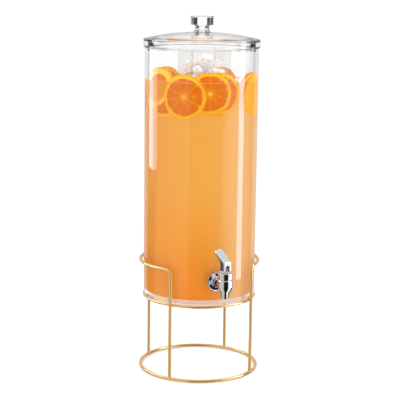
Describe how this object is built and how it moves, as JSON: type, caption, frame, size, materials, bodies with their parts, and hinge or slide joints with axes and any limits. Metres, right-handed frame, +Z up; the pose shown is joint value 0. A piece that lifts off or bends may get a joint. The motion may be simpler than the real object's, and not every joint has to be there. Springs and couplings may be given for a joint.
{
  "type": "beverage dispenser",
  "caption": "Tall clear cylindrical drink dispenser on a gold wire stand, with a lift-out ice chamber, a domed lid with a knob, and a self-closing lever tap.",
  "frame": {"origin": "on the floor, under the middle of the object's box", "axes": "+Z up along the jar's axis; the tap faces -Y; +X is to the right of someone facing the tap"},
  "size_m": [0.2208, 0.2792, 0.642],
  "materials": {
    "gold_wire": "polished gold plating over steel wire",
    "clear_acrylic": "clear polished acrylic",
    "chrome": "bright chrome plating",
    "silicone": "translucent silicone",
    "white_nylon": "moulded nylon",
    "tan_plastic": "moulded acetal",
    "steel": "stainless steel"
  },
  "bodies": {
    "stand": {"base_ring": "gold_wire", "support_ring": "gold_wire", "left_hoop": "gold_wire", "right_hoop": "gold_wire"},
    "jar": {"jar_wall": "clear_acrylic", "jar_floor": "clear_acrylic", "faucet_body": "chrome", "faucet_bonnet": "chrome", "faucet_flange": "chrome", "outer_gasket": "silicone", "inner_gasket": "silicone", "lock_nut": "white_nylon"},
    "ice_chamber": {"ice_tube": "clear_acrylic", "ice_tube_floor": "clear_acrylic"},
    "lid": {"lid": "clear_acrylic", "lid_knob": "clear_acrylic", "lid_locating_ring": "clear_acrylic"},
    "swivel": {"wear_washer": "tan_plastic"},
    "valve": {"valve_stem": "chrome", "seat_cup": "silicone", "lever_pin": "steel", "valve_spring": "steel"},
    "lever": {"faucet_lever": "chrome"}
  },
  "joints": [
    {"name": "jar_lift", "type": "slide", "parent": "stand", "child": "jar", "axis": [0, 0, 1], "range_m": [0, 0.08]},
    {"name": "chamber_lift", "type": "slide", "parent": "jar", "child": "ice_chamber", "axis": [0, 0, 1], "range_m": [0, 0.46]},
    {"name": "lid_lift", "type": "slide", "parent": "ice_chamber", "child": "lid", "axis": [0, 0, 1], "range_m": [0, 0.08]},
    {"name": "lever_swivel", "type": "hinge", "parent": "jar", "child": "swivel", "pos_m": [0, -0.12639, 0.2137], "axis": [0, 0, 1], "continuous": true},
    {"name": "stem_lift", "type": "slide", "parent": "swivel", "child": "valve", "axis": [0, 0, 1], "range_m": [0, 0.00367], "deforming": ["valve_spring"]},
    {"name": "lever_tilt", "type": "hinge", "parent": "valve", "child": "lever", "pos_m": [0, -0.12639, 0.221], "axis": [0.9659, 0.2588, 0], "range_deg": [0, 35], "stiffness_Nm_per_rad": 0.05, "springref_deg": -28.65}
  ],
  "couplings": [
    {"joint": "lever_tilt", "follows": "stem_lift", "rad_per_m": 166.67}
  ]
}
